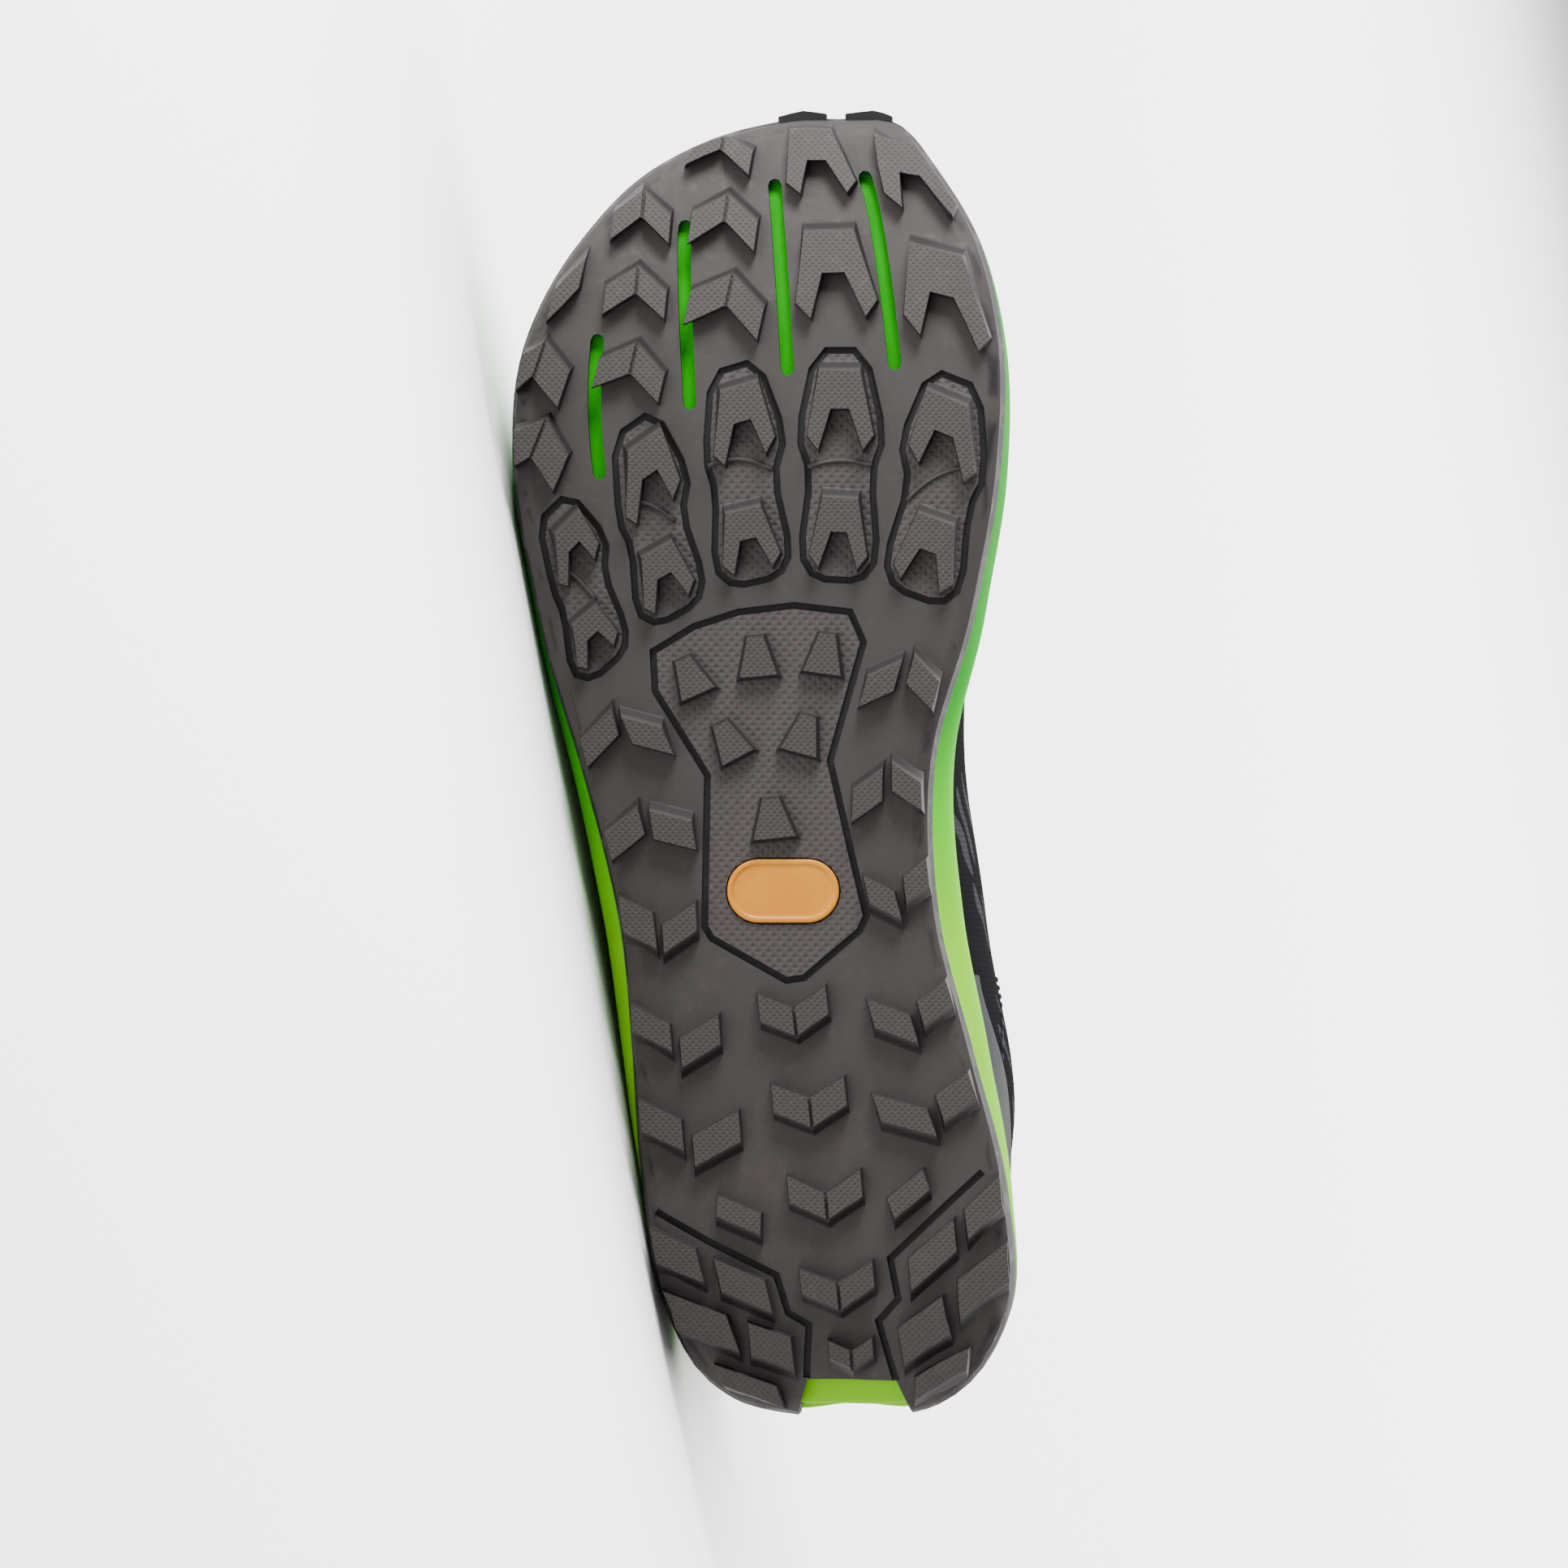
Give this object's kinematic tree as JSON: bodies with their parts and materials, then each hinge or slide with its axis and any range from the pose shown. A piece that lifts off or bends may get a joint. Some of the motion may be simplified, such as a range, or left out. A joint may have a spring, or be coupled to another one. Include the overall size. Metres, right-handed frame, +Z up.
{
  "type": "trail running shoe",
  "caption": "Low-cut trail running shoe lying on its outer side, with a deep-lugged grooved rubber outsole, a flared foam midsole, a hollow mesh upper, a tongue and lace crossings.",
  "frame": {"origin": "centre of the bounding box in plan, on the floor that the shoe lies on", "axes": "+Z up from the floor, through the shoe's medial side; the toe points to -X and a little up; the sole faces -Y"},
  "size_m": [0.2986, 0.1228, 0.1175],
  "materials": {
    "outsole_rubber": "dark grey rubber, matt, finely textured on the lug tops",
    "inlay_rubber": "plain orange-yellow rubber, smooth",
    "midsole_foam": "moulded foam, green at the forefoot and lime at the heel",
    "insole_foam": "fabric-covered foam",
    "upper_mesh": "black mesh with grey printed strokes",
    "overlay_film": "thin welded film, satin",
    "tongue_mesh": "padded mesh",
    "lace_cord": "woven cord",
    "pull_tab_webbing": "woven webbing"
  },
  "bodies": {
    "root": {"outsole": "outsole_rubber", "sole_inlay": "inlay_rubber", "midsole": "midsole_foam", "insole": "insole_foam", "upper": "upper_mesh", "toe_cap": "overlay_film", "heel_counter": "overlay_film", "eyestay_medial": "overlay_film", "eyestay_lateral": "overlay_film", "tongue": "tongue_mesh", "lace_crossing_1": "lace_cord", "lace_crossing_2": "lace_cord", "lace_crossing_3": "lace_cord", "lace_crossing_4": "lace_cord", "lace_crossing_5": "lace_cord", "pull_tab": "pull_tab_webbing"}
  },
  "joints": []
}
